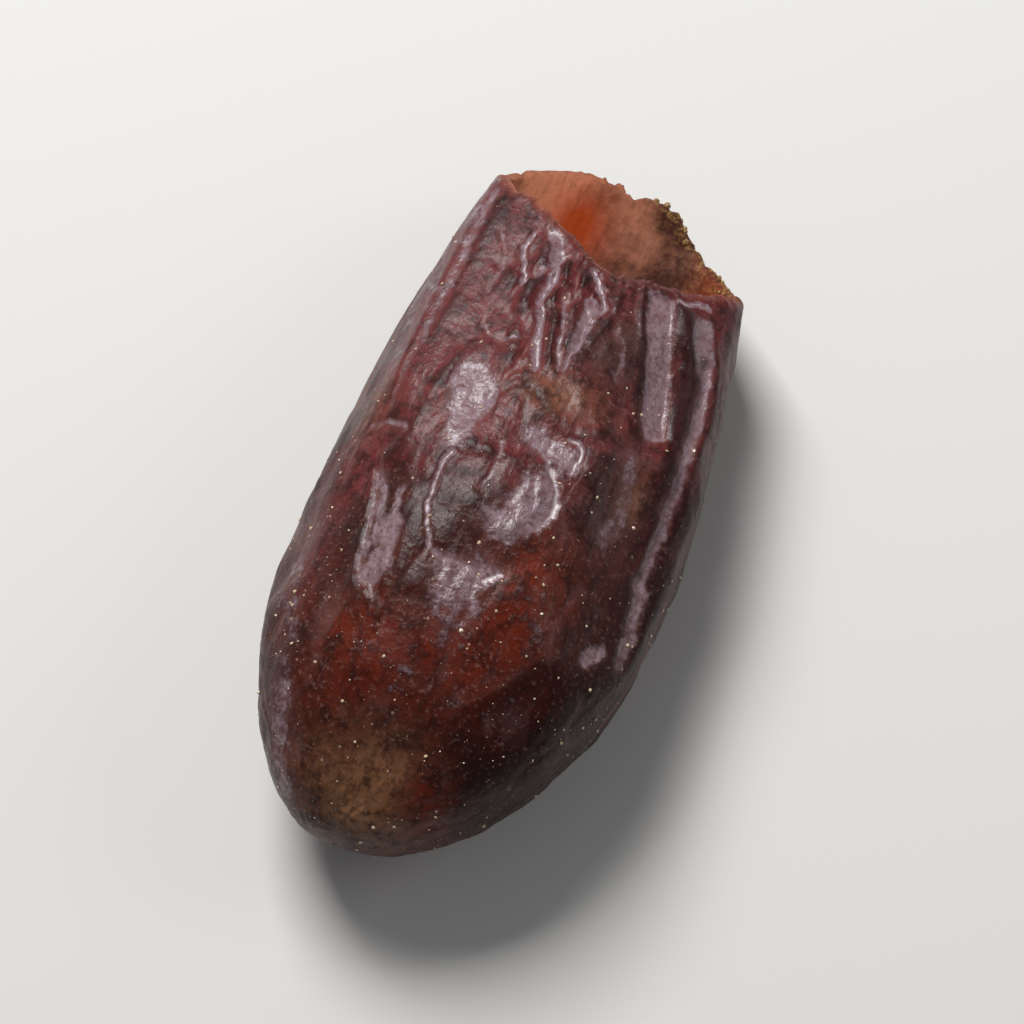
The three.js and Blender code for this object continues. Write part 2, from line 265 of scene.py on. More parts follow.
# Marks in the skin of the upper face. Each follows a path of places (X, Y). Its crest has its "height" and
# is flat for "flat" to each side, then it falls off over "left" and "right" of the way the path runs. "end"
# is its strength at the last place as a share of that at the first, "tilt" slopes its crest up to the left,
# "pale" is how far the skin has lifted off the flesh, painted paler with a painted highlight (past 1 a
# painted glint), "square" cuts its ends, and "wander" is how far it strays.
skinMarks = [
    # the strap on the right shoulder, the thin gap before it and the groove behind it
    mark([(3.6, 13.1), (5.0, 9.3), (6.3, 5.6)], height=0.3, flat=0.54, left=0.22, right=0.26, tilt=0.12,
         pale=0.9, square=True, wander=0.1),
    mark([(2.7, 12.6), (4.0, 9.1), (5.2, 5.6)], height=-0.1, left=0.25, right=0.3, end=0.8, wander=0.1),
    mark([(5.1, 12.8), (5.9, 11.2), (6.6, 9.4), (7.3, 6), (7.5, 2.4)], height=-0.4, flat=0.1, left=0.45,
         right=0.45, end=0.3, wander=0.06),
    # the long ridge beyond the groove, with a broad head
    mark([(6.2, 12.4), (6.7, 11.4), (7.1, 10.6)], height=0.2, flat=0.36, left=0.35, right=0.35, end=0.8,
         pale=0.95, wander=0.12),
    mark([(7.3, 10.6), (7.95, 8.1), (8.25, 5.1), (8.4, 2.4), (8.45, 0.2), (8.6, -1.6)], height=0.34,
         flat=0.08, left=0.34, right=0.26, end=0.75, pale=0.95, wander=0.1),
    mark([(8.6, -1.6), (8.8, -2.8), (9.1, -4.4), (9.2, -6)], height=0.24, flat=0.18, left=0.34, right=0.3,
         end=0.6, pale=0.75, wander=0.14),
    # the edge between the face and the flat strip on the left, and that strip
    mark([(-7.25, 15.6), (-7.3, 12.1), (-7.4, 8), (-7.5, 4), (-7.4, 2)], height=0.12, flat=0.03, left=0.4,
         right=0.12, end=0.6, pale=0.55, wander=0.08),
    mark([(-7.8, 15.4), (-8.05, 12.2), (-8.3, 8), (-8.4, 4)], flat=1.15, left=0.2, right=0.6, end=0.7,
         pale=0.36),
    mark([(-6.7, 15), (-6.5, 11), (-6.8, 6), (-6.6, 2)], height=-0.18, flat=0.1, left=0.9, right=0.45,
         end=0.5),
    # hairlines and crumpled folds behind the upper lip
    mark([(-4.1, 13.8), (-4.2, 12.6), (-3.7, 11.4), (-3.4, 10.9)], height=0.16, left=0.13, right=0.2,
         pale=1.15),
    mark([(-3.0, 14.2), (-2.7, 13.6), (-2.4, 12.9)], height=0.13, flat=0.12, left=0.35, right=0.35,
         pale=0.95),
    mark([(-3.1, 11.4), (-2.5, 12.4), (-1.5, 13.3)], height=0.17, flat=0.05, left=0.3, right=0.2, end=0.8,
         pale=0.5),
    mark([(-2.1, 12.4), (-2.1, 10.7), (-1.8, 9.5), (-1.3, 7.8), (-0.9, 6.3)], height=0.22, left=0.14,
         right=0.4, pale=1.05),
    mark([(-1.1, 10.8), (-0.5, 8.8), (0.2, 6.7)], height=0.17, left=0.3, right=0.13, pale=0.6),
    mark([(-0.3, 13.1), (0.6, 12), (1.1, 11.1), (0.75, 9.5), (0.7, 8), (0.7, 6.8)], height=0.26, left=0.13,
         right=0.3, end=0.9, pale=1.15),
    mark([(0.4, 10.9), (0.6, 9.6), (0.5, 8.4)], height=0.06, flat=0.25, left=0.15, right=0.25, pale=0.85),
    mark([(1.6, 12.2), (1.75, 10.4), (1.3, 8.6)], height=-0.2, left=0.2, right=0.3, end=0.7),
    mark([(-1.65, 12.8), (-1.5, 10.6), (-0.9, 8.6), (-0.4, 6.9)], height=-0.22, left=0.22, right=0.22,
         end=0.7),
    mark([(-0.6, 12.4), (-0.15, 10.6), (0.05, 8.2)], height=-0.22, left=0.22, right=0.25, end=0.7),
    mark([(-3.2, 13.5), (-3.0, 11.2), (-2.6, 8.4), (-2.5, 6.4)], height=-0.2, flat=0.1, left=0.5,
         right=0.35, end=0.7),
    mark([(-5.6, 13.2), (-4.9, 11.6), (-5.1, 9.8)], height=0.08, left=0.15, right=0.3, pale=0.4),
    mark([(2.2, 9.9), (2.9, 9.0), (3.3, 7.4)], height=0.08, left=0.3, right=0.2, pale=0.4),
    mark([(-4.6, 7.9), (-3.6, 7.3), (-2.6, 7.6)], height=0.09, left=0.2, right=0.3, pale=0.4),
    mark([(0.9, 5.6), (1.6, 4.9), (2.6, 4.6)], height=0.06, flat=0.2, left=0.3, right=0.4, pale=0.2),
    # the lifted patch on the left of the face, and the small hooked one right of it
    mark([(-3.7, 4.6), (-3.3, 3.9), (-3.2, 3)], height=0.12, flat=0.65, left=0.5, right=0.6, tilt=0.1,
         pale=0.95),
    mark([(-3.2, 2.8), (-3.1, 1.2)], height=0.06, flat=0.3, left=0.5, right=0.5, end=0.7, pale=0.9),
    mark([(0.8, 2.6), (1.8, 2.2), (2.9, 2.1)], height=0.08, flat=0.15, left=0.5, right=0.6, pale=0.85),
    mark([(2.5, 3.3), (3.1, 3.1), (3.3, 2.5), (3.2, 1.4)], height=0.2, left=0.15, right=0.22, end=0.8,
         pale=1.4),
    # the dent in the middle: a shallow dish with a thin left edge and a right wall, both with painted glints
    mark([(-0.4, -1.3), (0.5, -1.6)], height=-0.38, flat=0.9, left=1.7, right=1.6),
    mark([(-3.1, 0.4), (-3.4, -0.6), (-3.3, -2), (-2.8, -3.6), (-2.1, -5)], height=0.16, left=0.25,
         right=0.14, end=0.6, pale=1.15),
    mark([(2.3, 1.2), (3.0, 0.3), (3.2, -1.1), (2.6, -2.2)], height=0.26, left=0.2, right=0.4, end=0.7,
         pale=1.45),
    mark([(2.3, -0.3), (2.1, -1.5), (1.4, -2.6)], flat=0.4, left=0.5, right=1.0, end=0.9, pale=1),
    mark([(-2.6, 0.8), (-1, 1.1), (0.6, 0.8), (2.1, 1.4)], height=-0.13, left=0.35, right=0.4, wander=0.3),
    mark([(-0.9, 1.6), (-0.6, 0.2), (-0.8, -1.2)], height=0.08, left=0.15, right=0.25, pale=0.5),
    # the three-cornered patch below the dent
    mark([(-1.7, -5.3), (0.2, -5.3), (1.6, -4.8)], height=0.17, left=0.35, right=0.3, pale=0.6),
    mark([(1.3, -5.6), (1.8, -5.0)], height=0.16, flat=0.03, left=0.2, right=0.15, pale=1.35),
    mark([(0, -6), (0.3, -7.2), (0.4, -8.4)], height=0.1, flat=0.8, left=0.8, right=0.8, end=0.5, pale=0.6),
    # the long patch with a sharp left edge
    mark([(-6.6, -2), (-6.1, -3.7), (-5.6, -6), (-5.2, -7.6), (-4.2, -8.2)], height=0.26, left=0.6,
         right=0.1, end=0.7, pale=0.6),
    mark([(-5.8, -2.6), (-5.3, -4.2), (-5.0, -5.4)], height=0.07, flat=0.1, left=0.25, right=0.3,
         pale=0.85),
    mark([(-4.9, -2.5), (-4.5, -3.9)], height=0.06, flat=0.05, left=0.25, right=0.25, pale=0.75),
    mark([(-4.5, -4.6), (-4.3, -6), (-4.6, -7.4)], height=0.1, flat=0.3, left=0.45, right=0.5, end=0.85,
         pale=0.9),
    # the crease that runs across, where loose skin above meets tight skin below
    mark([(-1.2, 5.6), (-0.4, 5), (1.2, 4), (3, 3.5), (4.2, 4.2), (5.4, 5)], height=-0.18, left=0.8,
         right=0.4, end=0.8),
    mark([(4.3, 4.2), (4.4, 1.8), (4.8, -0.2), (5.4, -2.6)], height=-0.22, left=0.6, right=0.9, end=0.5),
    mark([(5.9, 3.6), (6.3, 1.6), (6.0, -0.6)], height=0.1, flat=0.15, left=0.5, right=0.5, pale=0.45),
    mark([(-4.9, 5.4), (-5.4, 3.6), (-5.6, 1.2), (-6.2, -0.8)], height=-0.18, left=0.8, right=0.4, end=0.8),
    mark([(-7.9, 0.6), (-6.9, 1.1), (-5.9, 0.9)], height=0.12, left=0.2, right=0.25, pale=0.6),
    # soft creases and faint pale places in the lower half
    mark([(5.6, -8.2), (4.2, -10.6), (2.6, -12.6)], height=-0.24, left=0.9, right=0.5, end=0.7),
    mark([(6.9, -4.4), (6.2, -6.6), (6.3, -8.4)], height=-0.16, left=0.5, right=0.6, end=0.6),
    mark([(8.1, -6.1), (7.6, -7)], height=0.12, flat=0.05, left=0.3, right=0.4, pale=0.85),
    mark([(4.6, 13.3), (5.4, 13.6), (6.1, 13.6)], height=0.08, left=0.15, right=0.2, pale=1.3, wander=0.1),
    mark([(-5.6, -8.6), (-5.6, -11.7), (-5.8, -14.2), (-4.8, -16.8)], height=0.16, flat=0.1, left=0.5,
         right=0.8, end=0.6),
    mark([(-2.8, -9.4), (-3.2, -12.6), (-2.2, -15.2)], height=-0.16, flat=0.1, left=1, right=1, end=0.6),
    mark([(-8.9, -3.5), (-8.2, -9), (-6.6, -14), (-4.9, -18)], flat=0.3, left=0.9, right=1.2, pale=0.28),
    mark([(-6.5, -14.2), (-5.5, -17), (-4.6, -18.4)], flat=0.2, left=0.6, right=0.9, pale=0.48),
    mark([(-1.9, -10.6), (-0.9, -11.4)], flat=0.3, left=1.2, right=1.2, pale=0.22),
    mark([(4.6, -5.6), (5, -6.6)], flat=0.3, left=1.1, right=1.1, pale=0.22),
    mark([(5.2, -10.8), (5.6, -12.2)], flat=0.2, left=0.9, right=0.9, pale=0.2),
]


def smoothPath(places, parts=5):
    # a Catmull-Rom curve through the places
    places = np.array(places, dtype=float)
    padded = np.concatenate([[2 * places[0] - places[1]], places, [2 * places[-1] - places[-2]]])
    curve = []
    for index in range(len(places) - 1):
        before, start, end, after = padded[index:index + 4]
        for part in range(parts):
            t = part / parts
            bend = 2 * before - 5 * start + 4 * end - after
            twist = 3 * start - before - 3 * end + after
            curve.append(0.5 * (2 * start + (end - before) * t + bend * t ** 2 + twist * t ** 3))
    curve.append(places[-1])
    return np.array(curve)


def markProfile(facePoints, wander, skinMark):
    # lifts the mark's path onto the upper face, then reads each point's place beside it
    wandering = facePoints + skinMark["wander"] * wander
    path = []
    for place in smoothPath(skinMark["path"]):
        nearest = np.argmin(np.sum((facePoints[:, :2] - place) ** 2, axis=1))
        path.append(facePoints[nearest])
    path = np.array(path)
    lengths = np.linalg.norm(np.diff(path, axis=0), axis=1)
    reached = np.concatenate([[0], np.cumsum(lengths)]) / lengths.sum()
    best, past, side, share = (np.full(len(facePoints), start) for start in (1e3, 1e3, 0.0, 0.0))
    for index, length in enumerate(lengths):
        if length == 0:
            continue
        run = (path[index + 1] - path[index]) / length
        offset = wandering - path[index]
        along = offset @ run
        step = np.clip(along, 0, length)
        aside = offset - along[:, None] * run
        lateral = np.linalg.norm(aside, axis=1)
        distance = np.hypot(lateral, along - step)
        nearer = distance < best
        best[nearer] = distance[nearer]
        if skinMark["square"]:
            beyond = np.hypot(np.maximum(lateral - skinMark["flat"], 0), along - step)
        else:
            beyond = np.maximum(distance - skinMark["flat"], 0)
        past[nearer] = beyond[nearer]
        side[nearer] = (run[0] * aside[:, 1] - run[1] * aside[:, 0])[nearer]
        share[nearer] = (reached[index] + step / length * (reached[index + 1] - reached[index]))[nearer]
    falloff = np.where(side > 0, skinMark["left"], skinMark["right"])
    shape = np.exp(-(past / falloff) ** 2) * (1 + (skinMark["end"] - 1) * share)
    height = skinMark["height"] + skinMark["tilt"] * np.clip(side, -skinMark["flat"], skinMark["flat"])
    return height * shape, skinMark["pale"] * shape


wrinkles = {
    "seed": 11,
    # rows of the mesh over which wrinkles grow from the tip, and over which they weaken towards the lip
    "tipRows": 26,
    "nearLipRows": 14,
    "weakerAtLip": 0.55,
    # slow rise and fall of the whole skin, with smaller lumps on it
    "swellHeight": 0.17,
    "swellSize": 7.0,
    "lumpHeight": 0.14,
    "lumpSize": 2.6,
    # how strong and how uneven the marks are, and how coarsely and finely they stray from their paths
    "markStrength": 0.8,
    "markUneven": 0.35,
    "unevenSize": 2.0,
    "wanderSize": 1.4,
    "fineWanderSize": 0.5,
    "fineWander": 0.4,
    # two nets of ridges in the shrunken skin, stretched along Y
    "netHeight": 0.15,
    "netSize": (1.9, 4.2, 1.9),
    "netWidth": 0.17,
    "fineNetHeight": 0.045,
    "fineNetSize": (0.85, 1.5, 0.85),
    "fineNetWidth": 0.17,
    # the nets are strongest in the crumpled part of the face and in the middle, then on the sides
    "crumpledPlaces": [
        ((-1.0, 10.5, 10), (2.6, 4.0, 6), 1.2),
        ((0, 4.4, 13), (4, 2.4, 6), 0.4),
    ],
    "crumpledEverywhere": 0.08,
    "crumpledSides": 0.35,
    "grainHeight": 0.018,
    "grainSize": 0.5,
    # ribs that the stone left in the wall of the hollow
    "ribHeight": 0.1,
    "ribSize": (0.9, 5.0, 0.9),
}


def ridgeNet(points, size, width, seed):
    # raised lines between the cells of a scattered pattern
    cells = points / np.array(size)
    cells = cells + 0.28 * np.stack([softNoise(cells * 1.3, seed + axis) for axis in range(3)], -1)
    base = np.floor(cells).astype(np.int64)
    nearest = np.full(points.shape[:-1], 9.0)
    second = np.full(points.shape[:-1], 9.0)
    for corner in np.ndindex(3, 3, 3):
        at = base + np.array(corner) - 1
        spot = at + cellChances(at, seed)
        distance = np.linalg.norm(cells - spot, axis=-1)
        second = np.minimum(second, np.maximum(distance, nearest))
        nearest = np.minimum(nearest, distance)
    return np.exp(-((second - nearest) / width) ** 2)


def spotMask(points, centre, radius):
    return np.exp(-np.sum(((points - np.array(centre)) / np.array(radius)) ** 2, axis=-1))


# Long folds down the sides and underside, which the broad face hides.
sideFolds = {
    "count": 8,
    "seed": 5,
    "from": 196,  # the ways that the first and last of them face, in degrees
    "to": 346,
    "depth": (0.2, 0.5),
    "width": (4.0, 8.0),  # degrees
}


def sideFoldHeight(points, angleGrid, choice):
    random = np.random.default_rng(choice["seed"])
    height = np.zeros(points.shape[:-1])
    y = points[..., 1]
    places = np.linspace(choice["from"], choice["to"], choice["count"])
    for place in places:
        start = random.uniform(-17, -4)
        end = start + random.uniform(9, 22)
        depth, width = random.uniform(*choice["depth"]), math.radians(random.uniform(*choice["width"]))
        sway = random.uniform(2, 6), random.uniform(5, 9), random.uniform(0, 2 * math.pi)
        middle = math.radians(place + random.uniform(-5, 5))
        middle = middle + math.radians(sway[0]) * np.sin(y / sway[1] * 2 + sway[2])
        away = np.angle(np.exp(1j * (angleGrid - middle))) / width
        run = smoothRamp(y, start - 3, start + 3) * (1 - smoothRamp(y, end - 3, end + 3))
        height -= depth * run * (np.exp(-away ** 2) - 0.55 * np.exp(-(np.abs(away) - 2) ** 2))
    return height


def spotField(points, places):
    return sum(strength * spotMask(points, middle, reach) for middle, reach, strength in places)


def addMarks(points, height, lifted, outside, upper):
    # only the upper face is marked, so only its points are worked on
    seed = wrinkles["seed"]
    facePoints = points[upper]
    coarse, fine = facePoints / wrinkles["wanderSize"], facePoints / wrinkles["fineWanderSize"]
    wander = np.stack([softNoise(coarse, seed + 110 + axis) for axis in range(3)], -1)
    fineWander = np.stack([softNoise(fine, seed + 120 + axis) for axis in range(3)], -1)
    wander += wrinkles["fineWander"] * fineWander
    uneven = 1 + wrinkles["markUneven"] * softNoise(facePoints / wrinkles["unevenSize"], seed + 130)
    for skinMark in skinMarks:
        raised, pale = markProfile(facePoints, wander, skinMark)
        height[upper] += wrinkles["markStrength"] * raised * uneven * outside[upper]
        lifted[upper] = np.maximum(lifted[upper], pale * np.sqrt(uneven))


def netWrinkles(points, crumple, atLip):
    seed = wrinkles["seed"]
    net = ridgeNet(points, wrinkles["netSize"], wrinkles["netWidth"], seed + 20)
    fineNet = ridgeNet(points, wrinkles["fineNetSize"], wrinkles["fineNetWidth"], seed + 40)
    patchy = smoothRamp(softNoise(points / 3.1, seed + 60), -0.25, 0.4)
    coarse = crumple * (wrinkles["netHeight"] * (net - 0.3) * (0.4 + 0.6 * patchy) * atLip)
    fine = (crumple + 0.08) * wrinkles["fineNetHeight"] * (fineNet - 0.3) * (0.3 + 0.7 * patchy)
    return coarse, fine


def rimTear(form, row, angleGrid):
    # how far the torn rim stands forward or back: coarse steps all round, and finer ones in ragged stretches
    seed = wrinkles["seed"]
    nearRim = np.exp(-((row - form["skinRows"] - form["lipRows"] / 2) / (form["lipRows"] * 0.9)) ** 2)
    ring = np.stack([np.cos(angleGrid), np.sin(angleGrid), np.zeros_like(angleGrid)], -1)
    ragged = smoothRamp(softNoise(ring * 4.0, seed + 104), -0.3, 0.5)
    tear = 0.25 * softNoise(ring * 3.1 + 5, seed + 101) + 0.25 * softNoise(ring * 9.0, seed + 102)
    tear += ragged * (0.3 * softNoise(ring * 17.0, seed + 103) + 0.2 * softNoise(ring * 37.0, seed + 105))
    for step in form["rimSteps"]:
        turned = np.angle(np.exp(1j * (angleGrid - math.radians(step["faces"]))))
        tear += step["forward"] * np.exp(-(turned / math.radians(step["width"])) ** 2)
    return tear * nearRim


def makeSkin(form):
    points = makeForm(form)
    normal = surfaceNormals(points)
    rows, steps = points.shape[:2]
    row = np.arange(rows)[:, None] * np.ones((1, steps))
    angleGrid = anglesRound(form)[None, :] * np.ones((rows, 1))
    skinEnd = form["skinRows"]
    lipEnd = skinEnd + form["lipRows"]
    outside = 1 - smoothRamp(row, skinEnd, lipEnd)
    atLip = 1 - wrinkles["weakerAtLip"] * smoothRamp(row, skinEnd - wrinkles["nearLipRows"], skinEnd)
    tipRoom = smoothRamp(row, 0, wrinkles["tipRows"])
    upper = (row < skinEnd + form["lipRows"] / 2) & (points[..., 2] > form["axisHeight"] - 0.5)

    seed = wrinkles["seed"]
    # the flat strip on the left stays straight
    unpressed = 1 - 0.85 * smoothRamp(-points[..., 0], 6.2, 7.4) * smoothRamp(points[..., 1], 1, 5)
    height = wrinkles["swellHeight"] * softNoise(points / wrinkles["swellSize"], seed) * outside * tipRoom
    height += wrinkles["lumpHeight"] * softNoise(points / wrinkles["lumpSize"], seed + 3) * outside
    height *= unpressed
    lifted = np.zeros(points.shape[:-1])
    addMarks(points, height, lifted, outside, upper)
    height += sideFoldHeight(points, angleGrid, sideFolds) * outside * atLip * tipRoom

    turnedUp = smoothRamp(normal[..., 2], 0.55, 0.9)
    crumple = spotField(points, wrinkles["crumpledPlaces"]) + wrinkles["crumpledEverywhere"]
    crumple += wrinkles["crumpledSides"] * (1 - turnedUp) * unpressed
    crumple = np.clip(crumple, 0, 1.3) * outside * tipRoom
    for ridges in netWrinkles(points, crumple, atLip):
        height += ridges
    height += wrinkles["grainHeight"] * softNoise(points / wrinkles["grainSize"], seed + 80)

    inside = smoothRamp(row, lipEnd, lipEnd + 6)
    ribs = layeredNoise(points / np.array(wrinkles["ribSize"]), seed + 90)
    height += inside * (wrinkles["ribHeight"] * ribs) * (1 - smoothRamp(row, rows - 8, rows - 1))

    moved = points + normal * height[..., None]
    moved[0] = moved[0].mean(axis=0)
    moved[-1] = moved[-1].mean(axis=0)
    moved[..., 2] = np.maximum(moved[..., 2], 0)
    # the plain form, the wrinkled one, and what the colours are laid by
    return points, moved, {
        "height": height,
        "row": row,
        "outside": outside,
        "lifted": lifted,
        "torn": rimTear(form, row, angleGrid),
    }


def smoothRows(field, times):
    for _ in range(times):
        field = (np.roll(field, 1, 1) + np.roll(field, -1, 1) + 2 * field) / 4
        padded = np.pad(field, ((1, 1), (0, 0)), mode="edge")
        field = (padded[:-2] + padded[2:] + 2 * field) / 4
    return field


def fitToBox(points, low, high):
    flat = points.reshape(-1, 3)
    size = flat.max(0) - flat.min(0)
    return (points - flat.min(0)) * (high - low) / size + low


# Where each colour of the skin lies, as spots: the middle, the reach each way, and the strength.
skinPlaces = {
    "cling": [  # the flesh glows orange-red through tight skin
        ((3.6, -5.2, 13), (2.3, 3.2, 9), 0.9),
        ((3.6, -9.2, 13), (2.6, 2.4, 9), 0.6),
        ((0.4, -9.6, 13), (2.2, 2.6, 9), 0.45),
        ((2.7, -16.9, 10), (1.3, 1.4, 4), 1.2),
        ((-3.8, -10.6, 12), (2.4, 3.4, 9), 0.75),
    ],
    "tan": [  # thin pale-brown skin, most of it at the tip
        ((-0.5, -17.3, 10), (3.0, 2.3, 5), 0.95),
        ((1.0, 5.2, 13), (2.2, 1.1, 4), 0.5),
        ((6.6, 2.2, 11.5), (0.8, 1.6, 3), 0.35),
        ((-8.6, 1.6, 9), (1.3, 1.6, 4), 0.4),
    ],
    "shaded": [  # painted shade, partly the skin's darker tone: lower right, both flanks and the underside
        ((7.0, -10.5, 10), (3.4, 4.6, 7), 1.0),
        ((5.6, -14.6, 10), (2.4, 3.0, 6), 0.9),
        ((9.6, 0, 7), (1.7, 18, 6), 1.0),
        ((-9.6, 4.0, 7), (1.5, 12, 5), 0.9),
        ((0, 0, -1), (14, 22, 6), 0.8),
    ],
    "greyed": [  # duller, browner loose skin right of the middle
        ((3.2, 9.5, 12), (2.9, 4.0, 5), 0.9),
        ((5.6, 1.0, 12), (2.2, 3.4, 4), 0.7),
    ],
}
fullestMask = 1.5  # masks are cut off here, above 1 so that the ones that carry a painted glint still can


def colourMasks(form, place, made):
    height, row, outside = made["height"], made["row"], made["outside"]
    x, y, z = place[..., 0], place[..., 1], place[..., 2]
    wander = layeredNoise(place / 4.0, 301)
    blotch = layeredNoise(place / 1.7, 311)
    masks = {}
    for name, places in skinPlaces.items():
        masks[name] = spotField(place, places) * (1 + 0.6 * wander + 0.35 * blotch)
    leftStrip = smoothRamp(0.6 * wander - x, 6.3, 7.6) * smoothRamp(y, -14, 0)
    masks["loose"] = smoothRamp(y + 2.2 * wander + 0.8 * blotch, -3.5, 3.0) + 0.8 * leftStrip
    # painted relief shading: painted shade in the folds and a painted highlight on the raised crests
    masks["crease"] = 0.5 + 3.4 * (height - smoothRows(height, 40))
    masks["lifted"] = made["lifted"]
    masks["wet"] = outside * (1 - 0.85 * np.clip(masks["shaded"], 0, 1))
    # the flesh shows inside the mouth, and is torn to a thin golden edge along the far lip
    masks["flesh"] = 1 - outside
    farLip = smoothRamp(form["axisHeight"] - z, -1, 2.5) * (0.35 + 0.65 * smoothRamp(x, -1, 2))
    rimRow = form["skinRows"] + form["lipRows"] * 0.5
    masks["rim"] = farLip * np.exp(-((row - rimRow) / 6.5) ** 2)
    # painted shade in the hollow: darker deeper in and towards its right wall, lighter on its left
    behindRim = row - form["skinRows"] - form["lipRows"]
    masks["hollowShade"] = 0.4 + 0.6 * smoothRamp(behindRim + 3 * wander, 0, 12) + 0.5 * smoothRamp(x, -1, 3)
    masks["hollowShade"] -= 0.9 * smoothRamp(-x, 2, 5)
    orangeSpot = spotMask(place, (-2.9, 16.6, 4), (1.6, 2.0, 6))
    masks["orangeFlesh"] = 1.2 * orangeSpot + 0.5 * smoothRamp(x, 3, 6)
    # sugar has come out in specks, in clumps, on skin that is clear of the table
    clumps = smoothRamp(layeredNoise(place / 2.0, 321), -0.3, 1.2)
    low = 0.3 + 0.7 * smoothRamp(-y, -4, 6)
    masks["speckled"] = outside * smoothRamp(z, 1.0, 3.0) * low * (0.12 + clumps)
    masks["crumbled"] = smoothRamp(masks["rim"], 0.3, 0.7) * smoothRamp(x, -3, 1)
    return {name: np.clip(field, 0, fullestMask) for name, field in masks.items()}


def makeDateMesh(form):
    place, points, made = makeSkin(form)
    points = fitToBox(points, dateLow, dateHigh)
    points[..., 1] += made["torn"]
    rows, steps = points.shape[:2]
    # the two poles are one point each
    vertices = np.concatenate([points[:1, 0], points[1:-1].reshape(-1, 3), points[-1:, 0]]) * mm

    def at(line, step):
        return 1 + (line - 1) * steps + step % steps

    faces = []
    last = len(vertices) - 1
    for step in range(steps):
        faces.append((0, at(1, step + 1), at(1, step)))
        faces.append((last, at(rows - 2, step), at(rows - 2, step + 1)))
    for line in range(1, rows - 2):
        for step in range(steps):
            near, far = (at(line, step), at(line, step + 1)), (at(line + 1, step + 1), at(line + 1, step))
            faces.append(near + far)
    mesh = bpy.data.meshes.new("date_skin")
    mesh.from_pydata(vertices.tolist(), [], faces)
    mesh.polygons.foreach_set("use_smooth", np.ones(len(mesh.polygons), dtype=bool))
    for name, field in colourMasks(form, place, made).items():
        values = np.concatenate([field[:1, 0], field[1:-1].reshape(-1), field[-1:, 0]])
        mesh.attributes.new(name, "FLOAT", "POINT").data.foreach_set("value", values)
    piece = bpy.data.objects.new("date_body", mesh)
    bpy.context.scene.collection.objects.link(piece)
    return piece


datePiece = makeDateMesh(dateForm)
print("date shaped,", len(datePiece.data.polygons), "faces")


def linearColour(text):
    linear = []
    for place in (1, 3, 5):
        part = int(text[place:place + 2], 16) / 255
        linear.append(part / 12.92 if part <= 0.04045 else ((part + 0.055) / 1.055) ** 2.4)
    return (*linear, 1.0)


def addNode(tree, kind, settings, inputs):
    # an input is given either a value or another node's output
    node = tree.nodes.new(kind)
    for name, value in settings.items():
        setattr(node, name, value)
    for socket, value in inputs.items():
        if isinstance(value, bpy.types.NodeSocket):
            tree.links.new(value, node.inputs[socket])
        else:
            node.inputs[socket].default_value = value
    return node


def startMaterial(name):
    material = bpy.data.materials.new(name)
    material.use_nodes = True
    material.node_tree.nodes.clear()
    return material, material.node_tree


# Dried date skin: a thin, waxy, see-through film that shrank onto sugary flesh as it cured. Where it clings
# the flesh glows red through it, where it has come loose it is purplish, where it has lifted it is paler and
# shines and carries a painted highlight and painted glints, its folds carry painted shade and its crests a
# painted highlight, and it is painted darker towards the lower right, the flanks and the underside as shade.
skinLook = {
    "colours": {
        "tight": "#48170d",
        "mottled": "#260c08",
        "cling": "#6e220b",
        "loose": "#69292a",
        "greyed": "#43302b",
        "tan": "#946848",
        # painted shade
        "shaded": "#220805",
        "streak": "#2c1210",
        "grain": "#8a6660",
        # painted sheen, lifted skin painted paler with a painted highlight, and painted glints
        "paintedSheen": "#714e4e",
        "lifted": "#8a7279",
        "glint": "#cbbcbc",
        # painted shade in the folds, and a painted highlight on the crests
        "crease": "#240a08",
        "crest": "#8a6563",
        "speck": "#c3a888",
        "fleshLight": "#c0785a",
        # also the painted shade deep in the hollow
        "fleshDark": "#381003",
        "fleshOrange": "#943302",
        "rimGold": "#a67f4a",
        "rimDark": "#3f2416",
    },
    # cloudy patterns: their size in millimetres, their layers of detail, and how strong the finer layers are
    "clouds": {
        "mottle": (2.2, 6, 0.62),
        "blotch": (0.9, 4, 0.6),
        "flake": (0.5, 4, 0.65),
        "grain": (0.26, 3, 0.6),
    },
    "streakSize": (0.34, 2.4, 0.34),  # thin and long, along the fruit
    "speckSpacing": 0.62,  # between the cells that the painted specks lie in
    "crinkleSize": 0.75,  # across one facet of the finely crinkled film
    "roughness": (0.3, 0.5),  # from the smoother mottles to the rougher ones
    "subsurface": 0.12,
    "subsurfaceDepth": 0.5,  # how far light wanders in the flesh
    "coatRoughness": 0.19,
}
skinMasks = (
    "crease", "loose", "cling", "tan", "shaded", "greyed", "lifted", "rim", "flesh", "hollowShade",
    "orangeFlesh", "speckled", "wet",
)
